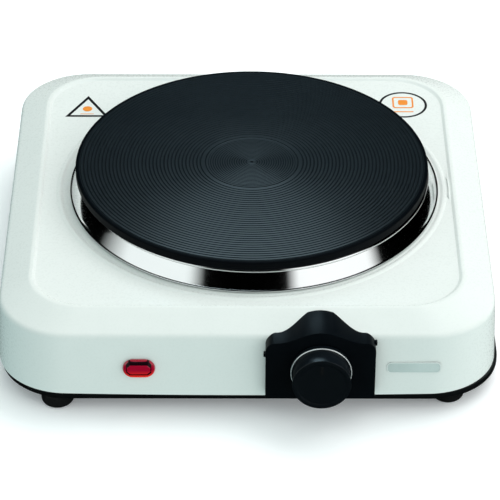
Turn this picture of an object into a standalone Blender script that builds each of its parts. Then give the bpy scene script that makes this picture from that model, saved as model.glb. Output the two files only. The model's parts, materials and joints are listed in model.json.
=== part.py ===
"""Single electric hot plate burner, with its thermostat, lamp, wiring and feet.

Lengths below are in millimetres and become metres as each mesh is made.
Y is measured from the middle of the body, with the front at -Y. The root
empty moves the whole object, so that its bounding box is centred on the
origin, and Z = 0 is the surface that the feet stand on.
"""

import math

import bmesh
import bpy
from mathutils import Matrix, Vector

MM = 0.001
FIT = 0.4  # gap left between two pieces that touch
RIGHT_ANGLE = math.pi / 2

# Body: half widths of the square, its corner radii and the heights of its bends.
BODY_HALF = 126.0
BODY_CORNER = 36.0
CORNER_CENTRE = BODY_HALF - BODY_CORNER
WALL_BOTTOM = 12.0
WALL_TOP = 42.0
WALL_LEAN = 1.1  # how far the wall leans in between its bottom and its top
CREASE_Z = 46.3
RIDGE_Z = 53.7
DECK_Z = 53.0
RECESS_Z = 52.7
SHEET = 1.0
DECK_HOLE = 87.6

# Base tray and feet. The tray sits a little right of the body's middle, as do its feet.
TRAY_X = 1.2
TRAY_Z = 8.0
TRAY_HALF = 126.2
TRAY_DEPTH = 125.4  # half of its depth
TRAY_STEP_Z = WALL_BOTTOM - FIT
LIP_HALF = 124.3  # of the lip that stands inside the wall
LIP_TOP = 17.0
FOOT_LEFT = -95.4
FOOT_RIGHT = 101.3
FOOT_REAR = 113.3
FOOT_PLACES = (
    (FOOT_LEFT, -115.8),
    (FOOT_RIGHT, -111.1),
    (FOOT_RIGHT, FOOT_REAR),
    (FOOT_LEFT, FOOT_REAR),
)
FOOT_RADIUS = 8.25

# Hot plate and the parts that hang on it. Plate and ring sit a little right of the middle.
PLATE_X = 2.5
RING_X = 3.8
PLATE_RADIUS = 92.5
PLATE_TOP = 68.2
RIM_BOTTOM = 63.4
SKIRT_RADIUS = 86.0
SKIRT_BOTTOM = 54.5
CHANNEL_IN = 38.0
CHANNEL_OUT = 82.0
CHANNEL_TOP = 62.0
DISC_RADIUS = 24.3
RING_RADIUS = 97.0
RING_HOLE = 88.6
COIL_RADIUS = 1.6
COIL_IN = 48.0
COIL_OUT = 74.0
COIL_TURNS = 2
COIL_Z = 60.0
COVER_Z = 53.2
BAR_TOP = 47.8
BAR_SHEET = 2.0
STUD_RADIUS = 2.4

# Control: the knob's axis runs along Y at this X and Z.
KNOB_X = 36.4
KNOB_Z = 32.2
KNOB_FRONT = 145.3
BEZEL_FRONT = 132.0
BEZEL_WIDTH = 55.0
STACK_X = KNOB_X + 24.0
PIN_TRAVEL = 0.75

# Lamp, badge and cord entry.
LAMP_X = -53.8
LAMP_Z = 29.0
BADGE_X = 82.6
BADGE_Z = 28.3
GLAND_X = 60.0
GLAND_Z = 28.0
GLAND_REAR = 130.3

# What brings the middle of the whole part's outline to the origin.
BODY_X = (BODY_HALF - TRAY_X - TRAY_HALF) / 2
BODY_Y = (KNOB_FRONT - GLAND_REAR) / 2


def wall_face(z):
    """Distance of the wall's outer face from the body's middle, at height z."""
    return BODY_HALF - WALL_LEAN * (z - WALL_BOTTOM) / (WALL_TOP - WALL_BOTTOM)


# ---------------------------------------------------------------- scene set-up


def clear_scene():
    for obj in list(bpy.data.objects):
        bpy.data.objects.remove(obj, do_unlink=True)


def new_collection(name, hidden=False):
    collection = bpy.data.collections.new(name)
    collection.hide_render = hidden
    bpy.context.scene.collection.children.link(collection)
    return collection


clear_scene()
PARTS = new_collection("hot_plate_burner")
CUTTERS = new_collection("cutters", hidden=True)
ROOT = bpy.data.objects.new("root", None)
ROOT.location = (BODY_X * MM, BODY_Y * MM, 0)
PARTS.objects.link(ROOT)


def material(name, color, roughness, metallic=0.0):
    mat = bpy.data.materials.new(name)
    mat.use_nodes = True
    shader = mat.node_tree.nodes["Principled BSDF"]
    shader.inputs["Base Color"].default_value = (*color, 1.0)
    shader.inputs["Roughness"].default_value = roughness
    shader.inputs["Metallic"].default_value = metallic
    return mat


ENAMEL = material("enamel", (0.80, 0.87, 0.83), 0.25)
BLACK_PAINT = material("black_paint", (0.012, 0.013, 0.014), 0.5)
CAST_IRON = material("cast_iron", (0.030, 0.045, 0.050), 0.45, 0.3)
CHROME = material("chrome", (0.80, 0.81, 0.82), 0.08, 1.0)
STEEL = material("steel", (0.50, 0.50, 0.50), 0.35, 1.0)
BRASS = material("brass", (0.70, 0.50, 0.20), 0.3, 1.0)
CERAMIC = material("ceramic", (0.80, 0.77, 0.68), 0.6)
INFILL = material("infill", (0.45, 0.42, 0.36), 0.9)
RUBBER = material("rubber", (0.010, 0.010, 0.011), 0.7)
BLACK_PLASTIC = material("black_plastic", (0.008, 0.010, 0.012), 0.3)
WHITE_PLASTIC = material("white_plastic", (0.75, 0.75, 0.72), 0.4)
RED_LENS = material("red_lens", (0.42, 0.004, 0.008), 0.12)
GLASS = material("glass", (0.90, 0.88, 0.85), 0.05)
GREY_LABEL = material("grey_label", (0.42, 0.50, 0.49), 0.35)
LIVE = material("live_sleeve", (0.20, 0.07, 0.02), 0.5)
NEUTRAL = material("neutral_sleeve", (0.02, 0.10, 0.40), 0.5)
EARTH = material("earth_sleeve", (0.20, 0.50, 0.05), 0.5)


# ---------------------------------------------------------------- mesh helpers


def add(name, data, mat, at=(0, 0, 0), turn=(0, 0, 0)):
    """Links a mesh or curve as a part. The parent empty carries the shift along Y."""
    obj = bpy.data.objects.new(name, data)
    obj.location = Vector(at) * MM
    obj.rotation_euler = turn
    obj.parent = ROOT
    if mat is None:
        CUTTERS.objects.link(obj)
        obj.hide_render = True
        obj.display_type = "WIRE"
    else:
        PARTS.objects.link(obj)
        data.materials.append(mat)
    return obj


def finished(bm, name):
    """Turns a bmesh in millimetres into a mesh in metres."""
    bmesh.ops.scale(bm, vec=(MM, MM, MM), verts=bm.verts)
    mesh = bpy.data.meshes.new(name)
    bm.to_mesh(mesh)
    bm.free()
    return mesh


def smooth(mesh, angle=40):
    mesh.polygons.foreach_set("use_smooth", [True] * len(mesh.polygons))
    mesh.set_sharp_from_angle(angle=math.radians(angle))


def bevel(obj, width, segments=2):
    modifier = obj.modifiers.new("Bevel", "BEVEL")
    modifier.width = width * MM
    modifier.segments = segments
    modifier.limit_method = "ANGLE"
    modifier.angle_limit = math.radians(50)


def cut(obj, cutter):
    modifier = obj.modifiers.new("Cut", "BOOLEAN")
    modifier.operation = "DIFFERENCE"
    modifier.solver = "EXACT"
    modifier.object = cutter


def box(name, low, high, mat, edge=0.0):
    """A box between two corners, with rounded edges if edge is given."""
    low, high = Vector(low), Vector(high)
    bm = bmesh.new()
    bmesh.ops.create_cube(bm, size=1.0)
    bmesh.ops.scale(bm, vec=high - low, verts=bm.verts)
    obj = add(name, finished(bm, name), mat, at=(low + high) / 2)
    if edge:
        bevel(obj, edge)
    return obj


def turned(name, profile, mat, at=(0, 0, 0), turn=(0, 0, 0), steps=24):
    """Screws a profile of (radius, height) points round the local Z axis.

    A profile that starts and ends on the axis makes a solid. Any other one
    is closed into a loop, which makes a ring. The points run down the outer
    side, from top to bottom.
    """
    solid = profile[0][0] == 0 and profile[-1][0] == 0
    bm = bmesh.new()
    verts = [bm.verts.new((radius, 0, height)) for radius, height in profile]
    for first, second in zip(verts, verts[1:]):
        bm.edges.new((first, second))
    if not solid:
        bm.edges.new((verts[-1], verts[0]))
    obj = add(name, finished(bm, name), mat, at, turn)
    modifier = obj.modifiers.new("Screw", "SCREW")
    modifier.steps = steps
    modifier.render_steps = steps
    modifier.use_merge_vertices = True
    modifier.merge_threshold = 1e-5
    modifier.use_smooth_shade = True
    return obj


def outline_mesh(name, loops, thickness):
    """A flat plate, centred on its thickness. The first loop is its edge, the rest are holes."""
    curve = bpy.data.curves.new(name, "CURVE")
    curve.dimensions = "2D"
    curve.fill_mode = "BOTH"
    curve.extrude = thickness / 2 * MM
    for loop in loops:
        spline = curve.splines.new("POLY")
        spline.points.add(len(loop) - 1)
        spline.use_cyclic_u = True
        for point, (x, y) in zip(spline.points, loop):
            point.co = (x * MM, y * MM, 0, 1)
    holder = bpy.data.objects.new(name, curve)
    bpy.context.scene.collection.objects.link(holder)
    bpy.context.view_layer.update()
    graph = bpy.context.evaluated_depsgraph_get()
    mesh = bpy.data.meshes.new_from_object(holder.evaluated_get(graph))
    bpy.data.objects.remove(holder)
    bm = bmesh.new()
    bm.from_mesh(mesh)
    bmesh.ops.remove_doubles(bm, verts=bm.verts, dist=1e-6)
    bmesh.ops.recalc_face_normals(bm, faces=bm.faces)
    bm.to_mesh(mesh)
    bm.free()
    return mesh


def front_plate(name, loops, back, front, mat):
    """A plate drawn in X and Z, between two distances in front of the body's middle."""
    mesh = outline_mesh(name, loops, front - back)
    return add(name, mesh, mat, at=(0, -(front + back) / 2, 0), turn=(RIGHT_ANGLE, 0, 0))


def circle(radius, x=0.0, y=0.0, steps=20):
    angles = [2 * math.pi * i / steps for i in range(steps)]
    return [(x + radius * math.cos(a), y + radius * math.sin(a)) for a in angles]


def arc(x, y, radius, start, end, steps=6):
    """Points on an arc, with its angles in degrees."""
    angles = [math.radians(start + (end - start) * i / steps) for i in range(steps + 1)]
    return [(x + radius * math.cos(a), y + radius * math.sin(a)) for a in angles]


def rounded_box(width, height, radius, x=0.0, y=0.0, steps=4):
    """A rectangle with round corners. A radius of half the height makes a stadium."""
    across, up = width / 2 - radius, height / 2 - radius
    corners = ((1, 1, 0), (-1, 1, 90), (-1, -1, 180), (1, -1, 270))
    points = []
    for side, level, start in corners:
        points += arc(x + side * across, y + level * up, radius, start, start + 90, steps)
    return points


def tube(name, points, radius, mat):
    curve = bpy.data.curves.new(name, "CURVE")
    curve.dimensions = "3D"
    curve.bevel_depth = radius * MM
    curve.bevel_resolution = 2
    curve.use_fill_caps = True
    spline = curve.splines.new("POLY")
    spline.points.add(len(points) - 1)
    for point, place in zip(spline.points, points):
        point.co = (*(Vector(place) * MM), 1)
    return add(name, curve, mat)


def tube_cutter(name, points, radius):
    """A tube as a mesh, because a Boolean takes no curve."""
    holder = tube(name + "_path", points, radius, None)
    bpy.context.view_layer.update()
    graph = bpy.context.evaluated_depsgraph_get()
    mesh = bpy.data.meshes.new_from_object(holder.evaluated_get(graph))
    bpy.data.objects.remove(holder)
    bm = bmesh.new()
    bm.from_mesh(mesh)
    bmesh.ops.remove_doubles(bm, verts=bm.verts, dist=1e-6)
    bmesh.ops.recalc_face_normals(bm, faces=bm.faces)
    bm.to_mesh(mesh)
    bm.free()
    return add(name, mesh, None)


def pegs(name, places, radius, low, high):
    """A cutter of upright cylinders, one for each (x, y) place."""
    bm = bmesh.new()
    for x, y in places:
        move = Matrix.Translation((x, y, (low + high) / 2))
        bmesh.ops.create_cone(
            bm, cap_ends=True, segments=20, radius1=radius, radius2=radius, depth=high - low, matrix=move
        )
    return add(name, finished(bm, name), None)


def bend(points, sharpness=3):
    """Rounds a route: a Catmull-Rom curve through the points, with steps between each two."""
    padded = [points[0], *points, points[-1]]
    route = []
    for a, b, c, d in zip(padded, padded[1:], padded[2:], padded[3:]):
        a, b, c, d = (Vector(p) for p in (a, b, c, d))
        for i in range(sharpness):
            t = i / sharpness
            curve = 2 * b + (c - a) * t + (2 * a - 5 * b + 4 * c - d) * t**2 + (3 * b - a - 3 * c + d) * t**3
            route.append(curve / 2)
    route.append(Vector(points[-1]))
    return route


# ---------------------------------------------------------------- pressed shells

ARC_STEPS = 5
SIDE_STEPS = 6


def square_section(half, corner, z):
    """One level of a shell: a rounded square, with its side points at even angles."""
    flat = half - corner
    spread = math.atan2(flat, half)
    points = []
    for quarter in range(4):
        turn = quarter * RIGHT_ANGLE
        side = [half * math.tan(spread * (2 * i / SIDE_STEPS - 1)) for i in range(SIDE_STEPS)]
        edge = [(half, y) for y in side]
        edge += arc(flat, flat, corner, 0, 90, ARC_STEPS)[:-1]
        cosine, sine = math.cos(turn), math.sin(turn)
        points += [(x * cosine - y * sine, x * sine + y * cosine, z) for x, y in edge]
    return points


def round_section(radius, z):
    """One level of a shell: a circle round the plate's axis, with as many points as a square."""
    rays = square_section(BODY_HALF - 20, BODY_CORNER - 10, z)
    angles = [math.atan2(y, x) for x, y, _ in rays]
    return [(PLATE_X + radius * math.cos(a), radius * math.sin(a), z) for a in angles]


def lofted(name, sections, mat, cap_first=False, cap_last=False):
    bm = bmesh.new()
    rings = [[bm.verts.new(point) for point in section] for section in sections]
    count = len(sections[0])
    for lower, upper in zip(rings, rings[1:]):
        for i in range(count):
            j = (i + 1) % count
            bm.faces.new((lower[i], lower[j], upper[j], upper[i]))
    if cap_first:
        bm.faces.new(rings[0][::-1])
    if cap_last:
        bm.faces.new(rings[-1])
    mesh = finished(bm, name)
    smooth(mesh)
    return add(name, mesh, mat)


def sheet(obj):
    """Gives an open outer surface the thickness of the body's sheet, inwards."""
    modifier = obj.modifiers.new("Solidify", "SOLIDIFY")
    modifier.thickness = SHEET * MM
    modifier.offset = -1
    modifier.use_even_offset = True


def body_sections(grow=0.0):
    """The body's outer levels, from the wall's bottom up to the deck's edge."""
    levels = (
        (BODY_HALF, BODY_CORNER, WALL_BOTTOM - grow),
        (BODY_HALF - WALL_LEAN, 35.4, WALL_TOP),
        (124.0, 34.9, CREASE_Z - 1.4),
        (122.2, 33.8, CREASE_Z + 0.8),
        (113.2, 29.6, RIDGE_Z - 1.4),
        (110.8, 28.6, RIDGE_Z - 0.3),
        (109.0, 27.8, RIDGE_Z),
        (107.4, 27.2, RIDGE_Z - 0.3),
        (106.2, 26.6, DECK_Z),
    )
    return [square_section(half + grow, corner + grow, z + grow) for half, corner, z in levels]


def make_housing():
    deck = [
        round_section(103.6, DECK_Z),
        round_section(102.4, RECESS_Z),
        round_section(DECK_HOLE + 1.4, RECESS_Z),
        round_section(DECK_HOLE, RECESS_Z - 1.4),
        round_section(DECK_HOLE, RECESS_Z - 3.6),
    ]
    housing = lofted("housing", body_sections() + deck, ENAMEL)
    sheet(housing)
    bush_hole = front_plate("bush_hole", [circle(5.2, KNOB_X, KNOB_Z)], 115, 135, None)
    lamp_hole = front_plate("lamp_hole", [rounded_box(14.0, 7.9, 3.95, LAMP_X, LAMP_Z)], 115, 135, None)
    gland_hole = front_plate("gland_hole", [circle(7.5, GLAND_X, GLAND_Z)], -135, -115, None)
    for hole in (bush_hole, lamp_hole, gland_hole):
        cut(housing, hole)


def make_tray():
    """A pan with a rolled edge under the wall and a lip that stands inside it."""
    sections = []
    for inset, z in ((1.0, TRAY_Z), (0, TRAY_Z + 1.0), (0, TRAY_STEP_Z)):
        half = TRAY_HALF - inset
        section = square_section(half, half - CORNER_CENTRE, z)
        sections.append([(x + TRAY_X, y * TRAY_DEPTH / TRAY_HALF, z) for x, y, z in section])
    for z in (TRAY_STEP_Z, LIP_TOP):
        sections.append(square_section(LIP_HALF, LIP_HALF - CORNER_CENTRE, z))
    tray = lofted("base_tray", sections, BLACK_PAINT, cap_first=True)
    sheet(tray)
    cut(tray, make_vents())
    cut(tray, SCREW_HOLES)
    return tray


def make_vents():
    """A cutter of the vent slots: two rows across the middle of the tray."""
    bm = bmesh.new()
    for row in (-30, 30):
        for column in range(7):
            x = (column - 3) * 12.0
            size = Matrix.Diagonal((3.5, 40, 10, 1))
            bmesh.ops.create_cube(bm, size=1.0, matrix=Matrix.Translation((x, row, TRAY_Z)) @ size)
    return add("vents", finished(bm, "vents"), None)


# ---------------------------------------------------------------- feet and brackets


def make_foot(number, x, y):
    place = (x, y, 0)
    top = TRAY_Z - FIT
    turned(
        f"foot_{number}",
        [
            (FOOT_RADIUS - 0.6, top),
            (FOOT_RADIUS, top - 0.6),
            (FOOT_RADIUS - 0.5, 0.8),
            (FOOT_RADIUS - 1.3, 0),
            (4.2, 0),
            (4.2, 3.4),
            (2.2, 3.4),
            (2.2, top),
        ],
        RUBBER,
        at=place,
        steps=16,
    )
    turned(
        f"foot_screw_{number}",
        [(0, 17.5), (1.2, 17.5), (1.7, 16.5), (1.7, 3.0), (3.6, 3.0), (3.6, 1.8), (2.6, 0.9), (0, 0.9)],
        STEEL,
        at=place,
        steps=10,
    )


def make_corner_bracket(number, x, y):
    """A bent strip welded inside the corner, which the foot's screw pulls the tray against."""
    corner = Vector((math.copysign(CORNER_CENTRE, x), math.copysign(CORNER_CENTRE, y)))
    reach = Vector((x, y)) - corner
    low = TRAY_Z + SHEET + FIT
    thick = 1.5
    inner, outer = 31.8, 32.8
    profile = [
        (inner - 15, low),
        (inner - 2, low),
        (inner, low + 2),
        (inner, TRAY_Z + 10.5),
        (outer, TRAY_Z + 12.0),
        (outer, 34.0),
        (outer - thick, 34.0),
        (outer - thick, TRAY_Z + 12.6),
        (inner - thick, TRAY_Z + 11.1),
        (inner - thick, low + 2 + thick / 2),
        (inner - 2 - thick / 2, low + thick),
        (inner - 15, low + thick),
    ]
    mesh = outline_mesh(f"corner_bracket_{number}", [profile], 12.0)
    bracket = add(
        f"corner_bracket_{number}",
        mesh,
        STEEL,
        at=(corner.x, corner.y, 0),
        turn=(RIGHT_ANGLE, 0, math.atan2(reach.y, reach.x)),
    )
    cut(bracket, SCREW_HOLES)


# ---------------------------------------------------------------- plate and heater


def make_hotplate():
    turned(
        "hotplate",
        [
            (0, PLATE_TOP),
            (DISC_RADIUS - 0.4, PLATE_TOP),
            (DISC_RADIUS, PLATE_TOP - 0.5),
            (DISC_RADIUS + 0.4, PLATE_TOP),
            (PLATE_RADIUS - 1.6, PLATE_TOP),
            (PLATE_RADIUS - 0.5, PLATE_TOP - 0.5),
            (PLATE_RADIUS, PLATE_TOP - 1.6),
            (PLATE_RADIUS - 0.1, RIM_BOTTOM + 0.6),
            (PLATE_RADIUS - 0.8, RIM_BOTTOM),
            (SKIRT_RADIUS, RIM_BOTTOM),
            (SKIRT_RADIUS, SKIRT_BOTTOM),
            (CHANNEL_OUT, SKIRT_BOTTOM),
            (CHANNEL_OUT, CHANNEL_TOP),
            (CHANNEL_IN, CHANNEL_TOP),
            (CHANNEL_IN, SKIRT_BOTTOM),
            (CHANNEL_IN - 4, SKIRT_BOTTOM),
            (CHANNEL_IN - 4, CHANNEL_TOP - 1),
            (12, CHANNEL_TOP - 1),
            (12, SKIRT_BOTTOM),
            (STUD_RADIUS + FIT, SKIRT_BOTTOM),
            (STUD_RADIUS + FIT, CHANNEL_TOP - 1),
            (0, CHANNEL_TOP - 1),
        ],
        CAST_IRON,
        at=(PLATE_X, 0, 0),
        steps=48,
    )


def make_spill_ring():
    """A thin chromed cone between the deck and the plate's rim, with a flange at each end."""
    outer = [
        (RING_HOLE, RIM_BOTTOM - FIT),
        (91.0, RIM_BOTTOM - FIT),
        (91.5, RIM_BOTTOM - 1.2),
        (95.6, DECK_Z + 1.9),
        (96.2, DECK_Z + 0.9),
        (RING_RADIUS, DECK_Z + 0.9),
    ]
    thick = 0.6
    inner = [
        (RING_RADIUS, DECK_Z + 0.9 - thick),
        (95.9, DECK_Z + 0.9 - thick),
        (95.1, DECK_Z + 1.6),
        (91.0, RIM_BOTTOM - 1.5),
        (90.7, RIM_BOTTOM - FIT - thick),
        (RING_HOLE, RIM_BOTTOM - FIT - thick),
    ]
    turned("spill_ring", outer + inner, CHROME, at=(RING_X, 0, 0), steps=48)


LEAD_PLACES = [(PLATE_X, -COIL_IN), (PLATE_X, -COIL_OUT)]


def coil_route(lead_bottom):
    """The heater's path: up a lead, round a flat spiral, and down the other lead."""
    steps = 18 * COIL_TURNS
    route = [(PLATE_X, -COIL_IN, lead_bottom)]
    for i in range(steps + 1):
        radius = COIL_IN + (COIL_OUT - COIL_IN) * i / steps
        angle = 2 * math.pi * COIL_TURNS * i / steps - RIGHT_ANGLE
        route.append((PLATE_X + radius * math.cos(angle), radius * math.sin(angle), COIL_Z))
    route.append((PLATE_X, -COIL_OUT, lead_bottom))
    return route


def make_heater():
    tube("heating_coil", coil_route(48.5), COIL_RADIUS, STEEL)
    infill = turned(
        "ceramic_infill",
        [
            (CHANNEL_OUT - FIT, CHANNEL_TOP - 0.8),
            (CHANNEL_OUT - FIT, SKIRT_BOTTOM + 0.3),
            (CHANNEL_IN + FIT, SKIRT_BOTTOM + 0.3),
            (CHANNEL_IN + FIT, CHANNEL_TOP - 0.8),
        ],
        INFILL,
        at=(PLATE_X, 0, 0),
        steps=36,
    )
    cut(infill, tube_cutter("coil_groove", coil_route(48.5), COIL_RADIUS + FIT))


def make_under_cover():
    cover = turned(
        "under_cover",
        [
            (84.0, COVER_Z + 1.0),
            (84.0, COVER_Z - 2.0),
            (83.2, COVER_Z - 2.0),
            (83.2, COVER_Z),
            (STUD_RADIUS + FIT, COVER_Z),
            (STUD_RADIUS + FIT, COVER_Z + 1.0),
        ],
        STEEL,
        at=(PLATE_X, 0, 0),
        steps=32,
    )
    cut(cover, pegs("lead_holes", LEAD_PLACES, 2.6, 50, 56))


AXIS = (PLATE_X, 0, 0)


def hexagon(radius):
    return circle(radius, steps=6)


def make_clamp():
    """The stud in the plate's middle, and the bar under the deck that it pulls against."""
    turned("centre_stud", [(0, 60.4), (STUD_RADIUS, 60.4), (STUD_RADIUS, 38), (0, 38)], STEEL, AXIS, steps=12)
    half = [
        (91, BAR_TOP),
        (93.4, RECESS_Z - SHEET - FIT),
        (102, RECESS_Z - SHEET - FIT),
        (102, RECESS_Z - SHEET - FIT - BAR_SHEET),
        (94.6, RECESS_Z - SHEET - FIT - BAR_SHEET),
        (92.2, BAR_TOP - BAR_SHEET),
    ]
    other = [(-x, z) for x, z in reversed(half)]
    outline = [(PLATE_X + x, z) for x, z in half + other]
    bar = front_plate("clamp_bar", [outline], -8, 8, STEEL)
    cut(bar, pegs("stud_hole", [(PLATE_X, 0)], STUD_RADIUS + FIT, 40, 52))
    bottom = BAR_TOP - BAR_SHEET
    turned(
        "stud_washer",
        [
            (7, bottom - FIT),
            (7, bottom - FIT - 1.2),
            (STUD_RADIUS + FIT, bottom - FIT - 1.2),
            (STUD_RADIUS + FIT, bottom - FIT),
        ],
        STEEL,
        AXIS,
    )
    nut = outline_mesh("stud_nut", [hexagon(5.2), circle(STUD_RADIUS + FIT)], 4.0)
    add("stud_nut", nut, STEEL, at=(PLATE_X, 0, bottom - 2 * FIT - 1.2 - 2.0))


TERMINAL_BOTTOM = 42.0


def make_plate_terminal():
    middle = -(COIL_IN + COIL_OUT) / 2
    block = box(
        "plate_terminal",
        (PLATE_X - 7, middle - 19, TERMINAL_BOTTOM),
        (PLATE_X + 7, middle + 19, COVER_Z - FIT),
        CERAMIC,
        edge=1.0,
    )
    cut(block, pegs("terminal_holes", LEAD_PLACES, COIL_RADIUS + FIT, 38, 56))
    for number, reach in ((1, COIL_OUT), (2, COIL_IN)):
        low = TERMINAL_BOTTOM - FIT
        turned(
            f"terminal_pin_{number}",
            [(0, 47.5), (1.5, 47.5), (1.5, low), (3.2, low), (3.2, low - 1), (1.2, low - 1), (1.2, 34), (0, 34)],
            BRASS,
            at=(PLATE_X, -reach, 0),
            steps=16,
        )


# ---------------------------------------------------------------- control


def on_knob_axis(name, profile, mat, steps=32):
    """A turned piece on the knob's axis. Its heights are distances in front of the body's middle."""
    return turned(name, profile, mat, at=(KNOB_X, 0, KNOB_Z), turn=(RIGHT_ANGLE, 0, 0), steps=steps)


BRACKET_BACK = 121.9
SPINDLE_RADIUS = 3.0
SPINDLE_END = 116.0
BLADE = 0.6


def make_knob():
    skirt = 15.15
    on_knob_axis(
        "knob",
        [
            (0, KNOB_FRONT),
            (13.4, KNOB_FRONT),
            (14.1, KNOB_FRONT - 0.3),
            (14.35, KNOB_FRONT - 1.0),
            (14.0, 138.5),
            (14.2, 136.4),
            (skirt - 0.2, 135.4),
            (skirt, 134.8),
            (skirt, 132.9),
            (SPINDLE_RADIUS + FIT, 132.9),
            (SPINDLE_RADIUS + FIT, 142.0),
            (0, 142.0),
        ],
        BLACK_PLASTIC,
        steps=36,
    )
    on_knob_axis(
        "spindle",
        [(0, 141.6), (2.6, 141.6), (SPINDLE_RADIUS, 141.2), (SPINDLE_RADIUS, SPINDLE_END), (0, SPINDLE_END)],
        BRASS,
        steps=20,
    )


def make_adjusting_pin():
    """The pin that the spindle's thread moves. It stops short of the contact blade."""
    blade_front = STACK[3]
    on_knob_axis(
        "adjusting_pin",
        [
            (0, SPINDLE_END - FIT),
            (1.5, SPINDLE_END - FIT),
            (1.5, blade_front + PIN_TRAVEL + FIT),
            (0, blade_front + PIN_TRAVEL + FIT),
        ],
        CERAMIC,
        steps=16,
    )


def make_bush():
    bore = SPINDLE_RADIUS + FIT
    flange = BRACKET_BACK - FIT
    on_knob_axis(
        "spindle_bush",
        [(4.5, 130.2), (4.5, flange), (7.0, flange), (7.0, flange - 1.6), (bore, flange - 1.6), (bore, 130.2)],
        BRASS,
        steps=24,
    )
    loops = [[(x + KNOB_X, y + KNOB_Z) for x, y in hexagon(7.4)], circle(4.9, KNOB_X, KNOB_Z)]
    seat = wall_face(KNOB_Z) + 0.3 + FIT
    front_plate("bush_nut", loops, seat, seat + 2.0, BRASS)


def make_bezel():
    """The moulded surround: one outline in X and Z, cut at the back to follow the body."""
    half = BEZEL_WIDTH / 2
    bottom, shoulder, dome = -18.2, 14.9, 21.7
    reach, steps = 22.0, 8  # the dome is a raised cosine, this far to each side
    side = arc(half - 1.5, bottom + 1.5, 1.5, -90, 0, 2)
    side += arc(half - 5, shoulder - 5, 5, 0, 90, 4)
    for i in range(steps):
        x = reach * (1 - i / steps)
        side.append((x, shoulder + (dome - shoulder) * (1 + math.cos(math.pi * x / reach)) / 2))
    outline = side + [(0, dome)] + [(-x, z) for x, z in reversed(side)]
    outline = [(x + KNOB_X, z + KNOB_Z) for x, z in outline]
    bezel = front_plate("bezel", [outline, circle(8.6, KNOB_X, KNOB_Z)], 112.4, BEZEL_FRONT, BLACK_PLASTIC)
    blank = lofted("body_blank", body_sections(grow=FIT), None, cap_first=True, cap_last=True)
    cut(bezel, blank)


# Distances of the contact stack's faces in front of the body's middle: the first
# spacer's back, the front blade's back, the second spacer's back, the rear
# blade's front and the last spacer's front.
STACK = (114.7, 113.7, 107.1, 106.7, 105.7)


def stack_spacer(number, back, front):
    turned(
        f"stack_spacer_{number}",
        [(5, front), (5, back), (2.1, back), (2.1, front)],
        CERAMIC,
        at=(STACK_X, 0, KNOB_Z),
        turn=(RIGHT_ANGLE, 0, 0),
        steps=12,
    )


def make_thermostat():
    bolt = circle(2.1, STACK_X, KNOB_Z, 16)
    plate = rounded_box(52, 20, 3, (KNOB_X + STACK_X) / 2, KNOB_Z)
    front_plate("thermostat_bracket", [plate, circle(5.0, KNOB_X, KNOB_Z), bolt], BRACKET_BACK, 123.4, STEEL)
    stack_spacer(1, STACK[0], BRACKET_BACK - FIT)
    bimetal = rounded_box(54, 8, 2, KNOB_X + 21, KNOB_Z, 2)
    front_plate(
        "bimetal_blade", [bimetal, circle(2.6, KNOB_X, KNOB_Z, 16), bolt], STACK[1], STACK[1] + BLADE, BRASS
    )
    stack_spacer(2, STACK[2], STACK[1] - FIT)
    contact = rounded_box(44, 8, 2, KNOB_X + 16, KNOB_Z, 2)
    front_plate("contact_blade", [contact, bolt], STACK[3] - BLADE, STACK[3], BRASS)
    stack_spacer(3, STACK[4] - 2, STACK[4])
    head = STACK[4] - 2 - FIT
    turned(
        "stack_screw",
        [(0, 123.0), (1.7, 123.0), (1.7, head), (3.2, head), (3.2, head - 1.4), (2.4, head - 2), (0, head - 2)],
        STEEL,
        at=(STACK_X, 0, KNOB_Z),
        turn=(RIGHT_ANGLE, 0, 0),
        steps=12,
    )


# ---------------------------------------------------------------- lamp, badge, cord entry


def lamp_outline(width, height):
    return rounded_box(width, height, height / 2, LAMP_X, LAMP_Z, 6)


def make_lamp():
    seat = wall_face(LAMP_Z) + 0.2 + FIT
    cap = front_plate("lamp_lens", [lamp_outline(16.4, 10.3)], 117.0, seat + 2.2, RED_LENS)
    collar = [lamp_outline(20, 14), lamp_outline(13.2, 7.1)]
    cut(cap, front_plate("lens_waist", collar, 116.0, seat, None))
    cut(cap, front_plate("lens_cavity", [lamp_outline(11.2, 5.1)], 115.0, seat + 0.8, None))
    front_plate("lamp_clip", [lamp_outline(20, 13.5), lamp_outline(14.0, 7.9)], 122.6, 123.4, STEEL)
    holder = front_plate("lamp_body", [lamp_outline(17.5, 11.5)], 106.0, 122.2, WHITE_PLASTIC)
    cut(holder, front_plate("holder_cavity", [lamp_outline(14.0, 7.9)], 108.0, 125.0, None))
    turned(
        "neon_bulb",
        [(0, 122.4), (1.1, 122.0), (1.9, 120.8), (2.1, 119.4), (2.1, 109.0), (0, 109.0)],
        GLASS,
        at=(LAMP_X, 0, LAMP_Z),
        turn=(RIGHT_ANGLE, 0, 0),
        steps=16,
    )


def make_badge():
    seat = wall_face(BADGE_Z) + 0.1 + FIT
    badge = front_plate("badge", [rounded_box(26.7, 6.4, 2.4, BADGE_X, BADGE_Z)], seat, seat + 0.8, GREY_LABEL)
    bevel(badge, 0.2, 1)


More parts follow.
